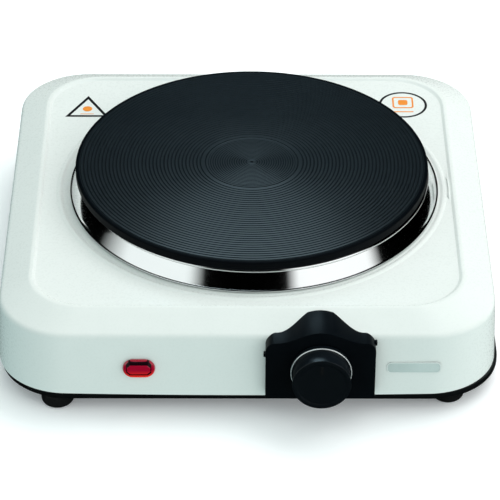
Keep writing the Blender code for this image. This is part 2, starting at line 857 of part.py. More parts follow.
def make_gland():
    """The strain relief that the mains cord comes in through, open right through."""
    seat = wall_face(GLAND_Z) + 0.3 + FIT
    turned(
        "cord_gland",
        [
            (5.4, GLAND_REAR),
            (6.2, GLAND_REAR - 0.8),
            (6.8, seat + 2.4),
            (9.4, seat + 2.0),
            (9.8, seat + 1.4),
            (9.8, seat),
            (7.0, seat),
            (7.0, 117.0),
            (3.6, 117.0),
            (3.6, GLAND_REAR),
        ],
        BLACK_PLASTIC,
        at=(GLAND_X, 0, GLAND_Z),
        turn=(-RIGHT_ANGLE, 0, 0),
        steps=24,
    )
    loops = [[(x + GLAND_X, y + GLAND_Z) for x, y in hexagon(10.5)], circle(7.4, GLAND_X, GLAND_Z)]
    front_plate("gland_nut", loops, -123.2, -120.2, BLACK_PLASTIC)


# ---------------------------------------------------------------- wiring

BLOCK = Vector((60.0, 92.0, TRAY_Z + SHEET + FIT))
BLOCK_HEIGHT = 12.0
EARTH_POINT = (20.0, 96.0)
FLOOR_SCREWS = list(FOOT_PLACES)
FLOOR_SCREWS += [(BLOCK.x, BLOCK.y), EARTH_POINT]


def make_terminal_block():
    low = BLOCK - Vector((16, 7, 0))
    high = BLOCK + Vector((16, 7, BLOCK_HEIGHT))
    block = box("terminal_block", low, high, WHITE_PLASTIC, edge=1.0)
    cut(block, pegs("block_hole", [(BLOCK.x, BLOCK.y)], 2.1, BLOCK.z - 2, BLOCK.z + BLOCK_HEIGHT + 2))
    top = BLOCK.z + BLOCK_HEIGHT + FIT
    turned(
        "terminal_block_screw",
        [(0, top + 2), (2.2, top + 2), (3.2, top + 1.2), (3.2, top), (1.7, top), (1.7, 5.5), (0, 5.0)],
        STEEL,
        at=(BLOCK.x, BLOCK.y, 0),
        steps=12,
    )
    seat = TRAY_Z + SHEET + FIT
    turned(
        "earth_screw",
        [(0, seat + 4), (2.4, seat + 4), (3.4, seat + 3), (3.4, seat), (1.7, seat), (1.7, 5.5), (0, 5.0)],
        BRASS,
        at=(*EARTH_POINT, 0),
        steps=12,
    )


def make_wires():
    """Each wire stops a small gap short of what it joins."""
    front = BLOCK.y - 7 - 1.5
    level = BLOCK.z + BLOCK_HEIGHT / 2
    rear_tail = (KNOB_X + 35, -STACK[3] + BLADE + 1.2, KNOB_Z)
    front_tail = (KNOB_X + 44, -STACK[1] + 1.2, KNOB_Z)
    pin_1 = Vector((PLATE_X, -COIL_OUT, 37))
    pin_2 = Vector((PLATE_X, -COIL_IN, 37))
    routes = {
        "live_wire": (
            LIVE,
            [
                (70, front, level),
                (71, 70, level),
                (78, 40, 15),
                (80, -20, 15),
                (78, -60, 16),
                (73, -82, 20),
                (rear_tail[0], -98, KNOB_Z - 2),
                rear_tail,
            ],
        ),
        "switched_wire": (
            LIVE,
            [
                front_tail,
                (front_tail[0], -104, KNOB_Z + 1),
                (74, -90, 38),
                (54, -80, 40),
                (28, -78, 40),
                (14, -COIL_OUT, 38),
                pin_1 + Vector((3, 0, 0)),
            ],
        ),
        "neutral_wire": (
            NEUTRAL,
            [
                (60, front, level),
                (60, 70, level),
                (50, 40, 15),
                (34, 0, 15),
                (22, -34, 24),
                (14, -COIL_IN, 36),
                pin_2 + Vector((3, 0, 0)),
            ],
        ),
        "earth_wire": (
            EARTH,
            [(50, front, level), (49, 74, level), (40, 68, 13), (26, 76, 12), (20, 84, 12), (20, 91, 12)],
        ),
        "lamp_lead_1": (
            LIVE,
            [
                (LAMP_X + 4, -104.4, LAMP_Z),
                (LAMP_X + 5, -96, LAMP_Z),
                (LAMP_X + 20, -84, 26),
                (-14, -COIL_OUT, 34),
                pin_1 - Vector((3, 0, 0)),
            ],
        ),
        "lamp_lead_2": (
            NEUTRAL,
            [
                (LAMP_X - 4, -104.4, LAMP_Z),
                (LAMP_X - 4, -92, LAMP_Z - 2),
                (LAMP_X + 10, -68, 22),
                (-14, -COIL_IN, 34),
                pin_2 - Vector((3, 0, 0)),
            ],
        ),
    }
    for name, (mat, route) in routes.items():
        tube(name, bend(route), 0.9 if name.startswith("lamp") else 1.3, mat)


# ---------------------------------------------------------------- the whole object

SCREW_HOLES = pegs("screw_holes", FLOOR_SCREWS, 2.1, 4, 14)


def main():
    make_housing()
    make_tray()
    for number, (x, y) in enumerate(FOOT_PLACES, start=1):
        make_foot(number, x, y)
        make_corner_bracket(number, x, y)
    make_hotplate()
    make_spill_ring()
    make_heater()
    make_under_cover()
    make_clamp()
    make_plate_terminal()
    make_knob()
    make_adjusting_pin()
    make_bush()
    make_bezel()
    make_thermostat()
    make_lamp()
    make_badge()
    make_gland()
    make_terminal_block()
    make_wires()


main()
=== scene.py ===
"""Looks of the hot plate burner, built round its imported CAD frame.

Lengths in the shape functions are in millimetres, as in the CAD, and are made
metres as each mesh is finished. X and Y are measured from the middle of the
body, whose place in the frame is read from the housing's own box.
"""

import json
import math

import bmesh
import bpy
from mathutils import Matrix, Vector


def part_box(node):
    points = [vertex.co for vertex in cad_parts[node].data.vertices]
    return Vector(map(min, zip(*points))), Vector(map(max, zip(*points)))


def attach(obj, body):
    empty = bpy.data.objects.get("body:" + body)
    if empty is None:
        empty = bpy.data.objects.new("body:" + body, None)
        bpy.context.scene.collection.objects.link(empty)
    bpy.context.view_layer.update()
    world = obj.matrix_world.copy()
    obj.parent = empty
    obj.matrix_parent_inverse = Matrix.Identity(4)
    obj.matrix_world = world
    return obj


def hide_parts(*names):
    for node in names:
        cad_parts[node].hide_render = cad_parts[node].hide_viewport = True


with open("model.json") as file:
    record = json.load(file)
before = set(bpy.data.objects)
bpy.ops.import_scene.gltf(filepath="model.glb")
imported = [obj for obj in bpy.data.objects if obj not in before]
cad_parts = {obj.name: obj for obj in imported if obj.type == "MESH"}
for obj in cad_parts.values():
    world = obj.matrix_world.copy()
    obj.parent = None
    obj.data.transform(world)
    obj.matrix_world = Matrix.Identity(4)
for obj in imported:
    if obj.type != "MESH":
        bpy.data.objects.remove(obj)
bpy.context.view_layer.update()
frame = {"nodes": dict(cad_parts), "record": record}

MM = 0.001
RIGHT_ANGLE = math.pi / 2


def middle_from_above(name):
    """The middle of a CAD node in X and Y, in millimetres."""
    low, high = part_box(name)
    return Vector((low.x + high.x, low.y + high.y, 0)) / 2 / MM


MIDDLE = middle_from_above("housing")


def box_mm(name):
    """Lowest and highest corner of a CAD node, in millimetres from the body's middle."""
    low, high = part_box(name)
    return low / MM - MIDDLE, high / MM - MIDDLE


def middle_of(name):
    low, high = box_mm(name)
    return (low + high) / 2


def size_of(name):
    low, high = box_mm(name)
    return high - low


# Places and sizes from the frame.
HALF = size_of("housing").x / 2
WALL_BOTTOM = box_mm("housing")[0].z
RIDGE = box_mm("housing")[1].z
PLATE = middle_of("hotplate")
PLATE_RADIUS = size_of("hotplate").x / 2
PLATE_UNDER = box_mm("hotplate")[0].z
PLATE_TOP = box_mm("hotplate")[1].z
RING = middle_of("spill_ring")
RING_RADIUS = size_of("spill_ring").x / 2
RING_BOTTOM = box_mm("spill_ring")[0].z
RING_TOP = box_mm("spill_ring")[1].z
KNOB = middle_of("knob")
KNOB_FRONT = -box_mm("knob")[0].y
KNOB_BACK = -box_mm("knob")[1].y
SKIRT = size_of("knob").x / 2
BEZEL_FRONT = -box_mm("bezel")[0].y
BEZEL_HALF = size_of("bezel").x / 2
BADGE = middle_of("badge")
GLAND = middle_of("cord_gland")
GLAND_REAR = box_mm("cord_gland")[1].y
TRAY = middle_of("base_tray")
TRAY_SIZE = size_of("base_tray")
TRAY_BOTTOM = box_mm("base_tray")[0].z
TRAY_LIP = box_mm("base_tray")[1].z
FEET = ("foot_1", "foot_2", "foot_3", "foot_4")

# The lens is drawn a little lower and taller than its CAD solid.
LAMP = middle_of("lamp_lens") - Vector((0, 0, 0.95))
LENS_WIDTH = size_of("lamp_lens").x
LENS_HEIGHT = size_of("lamp_lens").z + 0.5

# The pressed body's shape.
CORNER = 36.0
WALL_RISE = 30.0
WALL_LEAN = 1.1
CREASE = 46.3
BOW = 1.3
DECK = RIDGE - 0.95
DECK_EDGE = 20.0
RECESS = RIDGE - 1.1
BEAD_RADIUS = 104.2
BEAD_HEIGHT = 0.45
PLATE_HOLE = 87.6
RIM_BOTTOM = RING_TOP + 0.4
PRINT_THICKNESS = 0.06
PRINT_LIFT = 0.04


def front_bow(z):
    """How far the middle of the front wall bows out, at height z. The crease is straight."""
    return BOW * max(0.0, (CREASE - z) / (CREASE - WALL_BOTTOM))


def bow_share(x):
    """The share of the bow at x: all of it in the middle, none where a corner starts."""
    return max(0.0, 1 - (x / (HALF - CORNER)) ** 2)


def wall_front(x, z):
    """Distance of the front wall's outer face from the body's middle."""
    return HALF - WALL_LEAN * (z - WALL_BOTTOM) / WALL_RISE + front_bow(z) * bow_share(x)


# ---------------------------------------------------------------- mesh helpers


def finished(bm, name):
    """Turns a shape built in millimetres into a mesh in metres."""
    bmesh.ops.scale(bm, vec=(MM, MM, MM), verts=bm.verts)
    mesh = bpy.data.meshes.new(name)
    bm.to_mesh(mesh)
    bm.free()
    return mesh


def smooth(mesh, angle=35):
    """Shades a mesh smoothly, apart from edges sharper than an angle in degrees."""
    mesh.polygons.foreach_set("use_smooth", [True] * len(mesh.polygons))
    mesh.set_sharp_from_angle(angle=math.radians(angle))


def add(name, mesh, mat=None, at=(0, 0, 0), turn=(0, 0, 0)):
    """Places a piece, given in millimetres from the body's middle."""
    obj = bpy.data.objects.new(name, mesh)
    obj.location = (Vector(at) + MIDDLE) * MM
    obj.rotation_euler = turn
    bpy.context.scene.collection.objects.link(obj)
    if mat:
        mesh.materials.append(mat)
    return obj


def baked(obj):
    """Applies the object's modifiers, so that the mesh itself is what is seen."""
    bpy.context.view_layer.update()
    graph = bpy.context.evaluated_depsgraph_get()
    mesh = bpy.data.meshes.new_from_object(obj.evaluated_get(graph))
    obj.modifiers.clear()
    obj.data = mesh
    smooth(mesh)


def bevel(obj, width, segments):
    """Rounds a piece's edges."""
    modifier = obj.modifiers.new("Bevel", "BEVEL")
    modifier.width = width * MM
    modifier.segments = segments
    modifier.limit_method = "ANGLE"
    modifier.angle_limit = math.radians(40)
    baked(obj)


def thicken_inwards(obj, thickness):
    """Gives a skin the thickness of its sheet. Cutting the holes applies it."""
    modifier = obj.modifiers.new("Solidify", "SOLIDIFY")
    modifier.thickness = thickness * MM
    modifier.offset = -1


def cut(obj, *cutters):
    """Cuts shapes out of a piece, and removes the cutters."""
    for cutter in cutters:
        modifier = obj.modifiers.new("Cut", "BOOLEAN")
        modifier.operation = "DIFFERENCE"
        modifier.solver = "EXACT"
        modifier.object = cutter
    baked(obj)
    for cutter in cutters:
        bpy.data.objects.remove(cutter)


def arc(x, y, radius, start, end, steps=8):
    """Points on an arc, with its angles in degrees."""
    angles = [math.radians(start + (end - start) * i / steps) for i in range(steps + 1)]
    return [(x + radius * math.cos(a), y + radius * math.sin(a)) for a in angles]


def circle(radius, x=0.0, y=0.0, steps=64):
    return arc(x, y, radius, 0, 360 - 360 / steps, steps - 1)


def rounded_box(width, height, radius, x=0.0, y=0.0, steps=8):
    """A rectangle with round corners. A radius of half the height makes a stadium."""
    across, up = width / 2 - radius, height / 2 - radius
    corners = ((1, 1, 0), (-1, 1, 90), (-1, -1, 180), (1, -1, 270))
    points = []
    for side, level, start in corners:
        points += arc(x + side * across, y + level * up, radius, start, start + 90, steps)
    return points


def rounded_path(points, radii, steps=5):
    """A line through (u, v) points, with its corners rounded to about the given radii."""
    path = [Vector(points[0])]
    for before, corner, after, radius in zip(points, points[1:], points[2:], radii):
        before, corner, after = Vector(before), Vector(corner), Vector(after)
        back, ahead = (before - corner).normalized(), (after - corner).normalized()
        half = back.angle(ahead) / 2
        room = 0.49 * min((before - corner).length, (after - corner).length)
        reach = min(radius / math.tan(half), room)
        first, last = corner + back * reach, corner + ahead * reach
        for i in range(steps + 1):
            t = i / steps
            path.append(first * (1 - t) ** 2 + corner * 2 * t * (1 - t) + last * t**2)
    path.append(Vector(points[-1]))
    return [(p.x, p.y) for p in path]


def turned(name, profile, mat, steps, at=(0, 0, 0), turn=(0, 0, 0), closed=False):
    """Turns a profile of (radius, height) points, from top to bottom, round the local Z axis."""
    bm = bmesh.new()
    verts = [bm.verts.new((radius, 0, height)) for radius, height in profile]
    for first, second in zip(verts, verts[1:]):
        bm.edges.new((first, second))
    if closed:
        bm.edges.new((verts[-1], verts[0]))
    obj = add(name, finished(bm, name), at=at, turn=turn)
    modifier = obj.modifiers.new("Screw", "SCREW")
    modifier.steps = steps
    modifier.render_steps = steps
    modifier.use_merge_vertices = True
    modifier.merge_threshold = 1e-6
    baked(obj)
    obj.data.materials.append(mat)
    return obj


def outline_mesh(name, loops, thickness):
    """A flat plate, centred on its thickness. The first loop is its edge, the rest are holes."""
    curve = bpy.data.curves.new(name, "CURVE")
    curve.dimensions = "2D"
    curve.fill_mode = "BOTH"
    curve.extrude = thickness / 2 * MM
    for loop in loops:
        spline = curve.splines.new("POLY")
        spline.points.add(len(loop) - 1)
        spline.use_cyclic_u = True
        for point, (x, y) in zip(spline.points, loop):
            point.co = (x * MM, y * MM, 0, 1)
    holder = bpy.data.objects.new(name, curve)
    bpy.context.scene.collection.objects.link(holder)
    bpy.context.view_layer.update()
    graph = bpy.context.evaluated_depsgraph_get()
    mesh = bpy.data.meshes.new_from_object(holder.evaluated_get(graph))
    bpy.data.objects.remove(holder)
    bm = bmesh.new()
    bm.from_mesh(mesh)
    bmesh.ops.remove_doubles(bm, verts=bm.verts, dist=1e-7)
    bmesh.ops.recalc_face_normals(bm, faces=bm.faces)
    bm.to_mesh(mesh)
    bm.free()
    return mesh


def front_plate(name, loops, back, front, mat=None):
    """A plate drawn in X and Z, between two distances in front of the body's middle."""
    mesh = outline_mesh(name, loops, front - back)
    return add(name, mesh, mat, at=(0, -(front + back) / 2, 0), turn=(RIGHT_ANGLE, 0, 0))


def flat_print(name, loops, height, mat):
    """A thin print lying on the deck, drawn in X and Y."""
    mesh = outline_mesh(name, loops, PRINT_THICKNESS)
    return add(name, mesh, mat, at=(0, 0, height + PRINT_LIFT))


def lofted(name, sections, mat=None, cap_first=False, cap_last=False):
    """A skin over sections that all have the same number of points."""
    bm = bmesh.new()
    rings = [[bm.verts.new(point) for point in section] for section in sections]
    count = len(sections[0])
    for lower, upper in zip(rings, rings[1:]):
        for i in range(count):
            j = (i + 1) % count
            bm.faces.new((lower[i], lower[j], upper[j], upper[i]))
    if cap_first:
        bm.faces.new(rings[0][::-1])
    if cap_last:
        bm.faces.new(rings[-1])
    return add(name, finished(bm, name), mat)


def show(obj, slot, *nodes, body="chassis"):
    """Puts a finished piece in place of CAD nodes, on their body."""
    if nodes:
        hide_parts(*nodes)
    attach(obj, body)


# ---------------------------------------------------------------- materials


def new_material(name):
    mat = bpy.data.materials.new(name)
    mat.use_nodes = True
    return mat, mat.node_tree, mat.node_tree.nodes["Principled BSDF"]


def node(tree, kind, **values):
    made = tree.nodes.new(kind)
    for key, value in values.items():
        if key in made.inputs:
            made.inputs[key].default_value = value
        else:
            setattr(made, key, value)
    return made


def noise(tree, scale, stretch=None):
    """A noise pattern fixed to the piece. scale is in cells per metre."""
    place = node(tree, "ShaderNodeTexCoord")
    pattern = node(tree, "ShaderNodeTexNoise", Scale=scale, Detail=3.0)
    vector = place.outputs["Object"]
    if stretch:
        mapping = node(tree, "ShaderNodeMapping", Scale=stretch)
        tree.links.new(vector, mapping.inputs["Vector"])
        vector = mapping.outputs["Vector"]
    tree.links.new(vector, pattern.inputs["Vector"])
    return pattern.outputs["Fac"]


def ramp(tree, source, low, high, start=0.3, end=0.7):
    """Maps a pattern onto a range of values or colours."""
    made = node(tree, "ShaderNodeValToRGB")
    for element, place, value in zip(made.color_ramp.elements, (start, end), (low, high)):
        color = value if isinstance(value, tuple) else (value, value, value)
        element.position = place
        element.color = (*color, 1.0)
    tree.links.new(source, made.inputs["Fac"])
    return made.outputs["Color"]


def share_along(tree, axis, low, high):
    """Runs from 0 to 1 along one of the piece's own axes, between two places in millimetres."""
    place = node(tree, "ShaderNodeTexCoord")
    split = node(tree, "ShaderNodeSeparateXYZ")
    share = node(tree, "ShaderNodeMapRange")
    share.inputs["From Min"].default_value = low * MM
    share.inputs["From Max"].default_value = high * MM
    tree.links.new(place.outputs["Object"], split.inputs["Vector"])
    tree.links.new(split.outputs[axis], share.inputs["Value"])
    return share.outputs["Result"]


def bumped(tree, shader, source, strength, distance):
    made = node(tree, "ShaderNodeBump", Strength=strength, Distance=distance)
    tree.links.new(source, made.inputs["Height"])
    tree.links.new(made.outputs["Normal"], shader.inputs["Normal"])


def surface(
    name,
    color,
    other,
    roughness,
    metallic=0.0,
    grain=400.0,
    bump=0.05,
    depth=0.0002,
    stretch=None,
    specular=0.5,
):
    """A material whose colour, roughness and height all vary.

    The colour drifts slowly between two values, and the roughness and the
    height follow a fine pattern of grain cells per metre, depth metres deep.
    """
    mat, tree, shader = new_material(name)
    pattern = noise(tree, grain, stretch=stretch)
    broad = noise(tree, grain / 12)
    tree.links.new(ramp(tree, broad, color, other), shader.inputs["Base Color"])
    tree.links.new(ramp(tree, pattern, *roughness), shader.inputs["Roughness"])
    shader.inputs["Metallic"].default_value = metallic
    shader.inputs["Specular IOR Level"].default_value = specular
    bumped(tree, shader, pattern, bump, depth)
    return mat


ENAMEL = surface(
    "enamel",
    (0.706, 0.737, 0.722),
    (0.718, 0.748, 0.734),
    (0.26, 0.30),
    grain=900.0,
    bump=0.004,
    depth=0.00001,
    specular=0.12,
)
IRON = surface(
    "cast_iron",
    (0.0042, 0.0070, 0.0092),
    (0.0058, 0.0090, 0.0112),
    (0.40, 0.46),
    grain=2600.0,
    bump=0.25,
    depth=0.00003,
)
# Darker, duller iron for the grooves' sloping faces: painted shade in the grooves.
IRON_GROOVE_SHADE = surface(
    "cast_iron_groove_shade",
    (0.0024, 0.0042, 0.0056),
    (0.0034, 0.0056, 0.0072),
    (0.55, 0.65),
    grain=2600.0,
    bump=0.2,
    depth=0.00003,
    specular=0.12,
)
IRON_RIM = surface(
    "cast_iron_rim",
    (0.0010, 0.0018, 0.0028),
    (0.0014, 0.0024, 0.0036),
    (0.42, 0.55),
    grain=2600.0,
    bump=0.2,
    depth=0.00003,
    specular=0.04,
)
CHROME = surface(
    "chrome",
    (0.86, 0.87, 0.88),
    (0.89, 0.90, 0.905),
    (0.07, 0.09),
    metallic=1.0,
    grain=700.0,
    bump=0.004,
    depth=0.000002,
    stretch=(0.15, 0.15, 6.0),
)
BLACK_PLASTIC = surface(
    "black_plastic",
    (0.0024, 0.0043, 0.0064),
    (0.0030, 0.0052, 0.0075),
    (0.30, 0.38),
    grain=2200.0,
    bump=0.12,
    depth=0.00003,
)
BEZEL_PLASTIC = surface(
    "bezel_plastic",
    (0.0015, 0.0028, 0.0042),
    (0.0019, 0.0034, 0.0050),
    (0.34, 0.42),
    grain=2200.0,
    bump=0.12,
    depth=0.00003,
    specular=0.10,
)
# Light grey for the knob skirt's chamfer: a painted highlight where the light catches the edge.
SKIRT_PAINTED_HIGHLIGHT = surface(
    "skirt_painted_highlight",
    (0.56, 0.58, 0.59),
    (0.60, 0.62, 0.63),
    (0.22, 0.30),
    metallic=0.3,
    grain=2200.0,
    bump=0.05,
    depth=0.00001,
)
RUBBER = surface(
    "rubber",
    (0.0018, 0.0022, 0.0026),
    (0.0028, 0.0033, 0.0038),
    (0.62, 0.78),
    grain=1500.0,
    bump=0.2,
    depth=0.00005,
)
BLACK_PAINT = surface(
    "black_paint",
    (0.0016, 0.0022, 0.0028),
    (0.0024, 0.0031, 0.0038),
    (0.40, 0.52),
    grain=1800.0,
    bump=0.15,
    depth=0.00003,
)
GREY_LABEL = surface(
    "grey_label",
    (0.50, 0.58, 0.57),
    (0.54, 0.62, 0.61),
    (0.30, 0.38),
    grain=1600.0,
    bump=0.05,
    depth=0.00002,
)
LABEL_EDGE = surface(
    "label_edge",
    (0.70, 0.74, 0.73),
    (0.73, 0.77, 0.76),
    (0.26, 0.34),
    grain=1600.0,
    bump=0.05,
    depth=0.00002,
)
BLACK_INK = surface(
    "black_ink",
    (0.004, 0.005, 0.006),
    (0.007, 0.008, 0.009),
    (0.35, 0.45),
    grain=3000.0,
    bump=0.05,
    depth=0.00001,
)
ORANGE_INK = surface(
    "orange_ink",
    (0.80, 0.24, 0.015),
    (0.86, 0.28, 0.025),
    (0.35, 0.45),
    grain=3000.0,
    bump=0.05,
    depth=0.00001,
)
# Very dark red for the lens's sloping facets: painted shade and a painted reflection of dark
# surroundings.
RED_PAINTED_SHADE = surface(
    "red_painted_shade",
    (0.007, 0.001, 0.003),
    (0.012, 0.001, 0.004),
    (0.2, 0.3),
    grain=1500.0,
    bump=0.05,
    specular=0.1,
)


def brushed_in_rings(mat, amount):
    """Stretches the highlights along the radius, as a turned face does."""
    tree = mat.node_tree
    shader = tree.nodes["Principled BSDF"]
    tangent = node(tree, "ShaderNodeTangent", direction_type="RADIAL", axis="Z")
    tree.links.new(tangent.outputs["Tangent"], shader.inputs["Tangent"])
    shader.inputs["Anisotropic"].default_value = amount
    shader.inputs["Anisotropic Rotation"].default_value = 0.25


def painted_highlight_towards_front(mat, reach):
    """Paints a highlight in: the face's shine falls away towards the back, over a distance either
    side of its middle.
    """
    tree = mat.node_tree
    share = share_along(tree, "Y", -reach, reach)
    gloss = ramp(tree, share, 1.0, 0.12, 0.05, 0.75)
    tree.links.new(gloss, tree.nodes["Principled BSDF"].inputs["Specular IOR Level"])


brushed_in_rings(IRON, 0.6)
# The plate's highlight, brighter at the front, is painted into its shine.
painted_highlight_towards_front(IRON, PLATE_RADIUS)


def lens_material():
    """Glossy red plastic with painted light: it glows and is brighter along its lower edge, where
    the lamp's light gathers, and darkens towards the top as painted shade and reflection.
    """
    mat, tree, shader = new_material("red_lens")
    pattern = noise(tree, 1200.0)
    level = share_along(tree, "Z", LAMP.z - 5.0, LAMP.z + 4.0)
    # Painted light and shade: bright red and a glow at the lower edge, darkening towards the top as
    # a painted dark reflection.
    color = ramp(tree, level, (0.80, 0.022, 0.008), (0.36, 0.002, 0.022), 0.05, 0.6)
    painted_glow = ramp(tree, level, (0.20, 0.004, 0.001), (0.02, 0.0, 0.002), 0.05, 0.6)
    tree.links.new(color, shader.inputs["Base Color"])
    tree.links.new(painted_glow, shader.inputs["Emission Color"])
    tree.links.new(ramp(tree, pattern, 0.08, 0.13), shader.inputs["Roughness"])
    shader.inputs["Coat Weight"].default_value = 1.0
    shader.inputs["Emission Strength"].default_value = 1.0
    bumped(tree, shader, pattern, 0.05, 0.00002)
    mat.cycles.emission_sampling = "NONE"
    return mat


RED_LENS = lens_material()


def inner_materials():
    """Materials of the carried-over CAD nodes, by the record's slot."""
    return {
        "steel": surface(
            "steel",
            (0.45, 0.46, 0.47),
            (0.55, 0.56, 0.57),
            (0.28, 0.42),
            metallic=1.0,
            grain=900.0,
            bump=0.1,
            depth=0.00003,
            stretch=(1.0, 1.0, 8.0),
        ),
        "brass": surface(
            "brass",
            (0.62, 0.42, 0.15),
            (0.72, 0.52, 0.22),
            (0.22, 0.36),
            metallic=1.0,
            grain=900.0,
            bump=0.08,
            depth=0.00003,
        ),
        "ceramic": surface(
            "ceramic",
            (0.72, 0.69, 0.60),
            (0.80, 0.77, 0.69),
            (0.55, 0.70),
            grain=1400.0,
            bump=0.25,
            depth=0.00006,
        ),
        "infill": surface(
            "infill",
            (0.34, 0.31, 0.26),
            (0.48, 0.45, 0.39),
            (0.80, 0.95),
            grain=900.0,
            bump=0.6,
            depth=0.0003,
        ),
        "white_plastic": surface(
            "white_plastic",
            (0.70, 0.69, 0.65),
            (0.76, 0.75, 0.71),
            (0.38, 0.50),
            grain=1500.0,
            bump=0.1,
            depth=0.00003,
        ),
        "glass": glass_material(),
        "live_sleeve": surface(
            "live_sleeve",
            (0.16, 0.05, 0.015),
            (0.22, 0.08, 0.03),
            (0.45, 0.6),
            grain=1800.0,
            bump=0.2,
            depth=0.00004,
        ),
        "neutral_sleeve": surface(
            "neutral_sleeve",
            (0.015, 0.08, 0.34),
            (0.03, 0.12, 0.42),
            (0.45, 0.6),
            grain=1800.0,
            bump=0.2,
            depth=0.00004,
        ),
        "earth_sleeve": surface(
            "earth_sleeve",
            (0.10, 0.36, 0.03),
            (0.55, 0.55, 0.04),
            (0.45, 0.6),
            grain=900.0,
            bump=0.2,
            depth=0.00004,
        ),
        "black_plastic": BLACK_PLASTIC,
    }


def glass_material():
    """The neon bulb's clear glass, with faint swirls."""
    mat, tree, shader = new_material("glass")
    pattern = noise(tree, 800.0)
    color = ramp(tree, pattern, (0.93, 0.92, 0.90), (0.97, 0.96, 0.94))
    tree.links.new(color, shader.inputs["Base Color"])
    tree.links.new(ramp(tree, pattern, 0.02, 0.06), shader.inputs["Roughness"])
    shader.inputs["Transmission Weight"].default_value = 0.9
    return mat


# ---------------------------------------------------------------- pressed body

ARC_STEPS = 20
SIDE_STEPS = 28
CUT_NEAR = 115.0
CUT_FAR = 135.0
SLOT_WIDTH = 3.5
SLOT_LENGTH = 40.0
SLOT_PITCH = 12.0
SLOT_COLUMNS = 7
SLOT_ROWS = (-30.0, 30.0)
SHEET = 1.0
TRAY_SHEET = 0.9
TRAY_EDGE_TOP = WALL_BOTTOM - 0.35


def square_section(inset, z, corner_share=0.46, bow=0.0):
    """A level of the body: a rounded square set in from the wall's base line."""
    half = HALF - inset
    corner = CORNER - corner_share * inset
    flat = half - corner
    spread = math.atan2(flat, half)
    points = []
    for quarter in range(4):
        side = [half * math.tan(spread * (2 * i / SIDE_STEPS - 1)) for i in range(SIDE_STEPS)]
        edge = [(half, y) for y in side] + arc(flat, flat, corner, 0, 90, ARC_STEPS)[:-1]
        turn = quarter * RIGHT_ANGLE
        cosine, sine = math.cos(turn), math.sin(turn)
        for x, y in edge:
            across, along = x * cosine - y * sine, x * sine + y * cosine
            if along < 0:
                along -= bow * bow_share(across)
            points.append((across, along, z))
    return points


def round_section(radius, z):
    """A round level of the deck, with its points in line with the square levels' points."""
    rays = square_section(DECK_EDGE, z)
    angles = [math.atan2(y, x) for x, y, _ in rays]
    return [(PLATE.x + radius * math.cos(a), radius * math.sin(a), z) for a in angles]


def blended(first, second, share, z):
    """A level part of the way between two levels, with its own height."""
    points = []
    for (x0, y0, _), (x1, y1, _) in zip(first, second):
        points.append((x0 * (1 - share) + x1 * share, y0 * (1 - share) + y1 * share, z))
    return points


def wall_profile(grow=0.0):
    """The body's side in section, as (inset, height): wall, crease, shoulder, ridge, deck."""
    ridge = RIDGE - 0.02
    points = [
        (0.0, WALL_BOTTOM),
        (1.25, CREASE + 0.3),
        (16.0, ridge),
        (17.6, ridge),
        (19.0, DECK),
        (DECK_EDGE, DECK),
    ]
    path = rounded_path(points, (3.6, 3.2, 1.0, 0.9), steps=8)
    foot, top = Vector(path[0]), Vector(path[1])
    wall = [foot.lerp(top, i / 8) for i in range(8)]
    return [(inset - grow, z + grow) for inset, z in wall + path[1:]]


def make_housing():
    """The body: a curled edge, the wall and shoulder, the deck, and the raised bead and hole."""
    side = [square_section(inset, z, bow=front_bow(z)) for inset, z in wall_profile()]
    edge = side[-1]
    bead = round_section(BEAD_RADIUS, DECK)
    deck = [blended(edge, bead, share, DECK) for share in (0.25, 0.5, 0.75)]
    rings = rounded_path(
        [
            (BEAD_RADIUS, DECK),
            (BEAD_RADIUS - 1.2, DECK),
            (BEAD_RADIUS - 2.4, DECK + BEAD_HEIGHT),
            (BEAD_RADIUS - 3.4, DECK + BEAD_HEIGHT),
            (BEAD_RADIUS - 4.8, RECESS),
            (PLATE_HOLE + 1.6, RECESS - 0.1),
            (PLATE_HOLE, RECESS - 1.5),
            (PLATE_HOLE, RECESS - 3.4),
        ],
        (1.0, 0.8, 0.8, 1.0, 1.5, 1.5),
    )
    hole = [round_section(radius, z) for radius, z in rings]
    curl = [
        square_section(inset, WALL_BOTTOM + up, bow=BOW)
        for inset, up in ((0.3, 0.0), (0.08, 0.1))
    ]
    housing = lofted("housing_shell", curl + side[1:] + deck + hole, ENAMEL)
    thicken_inwards(housing, SHEET)
    lamp_hole = rounded_box(14.0, 7.9, 3.95, LAMP.x, LAMP.z)
    cut(
        housing,
        front_plate("bush_hole", [circle(5.2, KNOB.x, KNOB.z)], CUT_NEAR, CUT_FAR),
        front_plate("lamp_hole", [lamp_hole], CUT_NEAR, CUT_FAR),
        front_plate("gland_hole", [circle(7.5, GLAND.x, GLAND.z)], -CUT_FAR, -CUT_NEAR),
    )
    show(housing, "enamel", "housing")


def tray_section(inset, z):
    """A level of the tray's rolled edge, which sits a little to the right of the wall's foot."""
    across, along = TRAY_SIZE.x / 2 / HALF, TRAY_SIZE.y / 2 / HALF
    section = square_section(inset, z, corner_share=1.0)
    return [(x * across + TRAY.x, y * along + TRAY.y, z) for x, y, z in section]


def make_tray():
    """The black pan under the body: a raised floor, a rolled edge and a lip inside the wall."""
    floor = TRAY_BOTTOM + 0.7
    edge = rounded_path(
        [
            (12.0, floor),
            (7.2, floor),
            (6.4, TRAY_BOTTOM),
            (0, TRAY_BOTTOM),
            (0, TRAY_EDGE_TOP),
            (0.6, TRAY_EDGE_TOP),
        ],
        (0.8, 0.8, 1.1, 0.25),
    )
    sections = [tray_section(inset, z) for inset, z in edge]
    sections += [square_section(1.7, z, corner_share=1.0) for z in (TRAY_EDGE_TOP, TRAY_LIP)]
    tray = lofted("tray_pan", sections, BLACK_PAINT, cap_first=True)
    thicken_inwards(tray, TRAY_SHEET)
    cut(tray, *tray_cutters())
    show(tray, "black_paint", "base_tray")


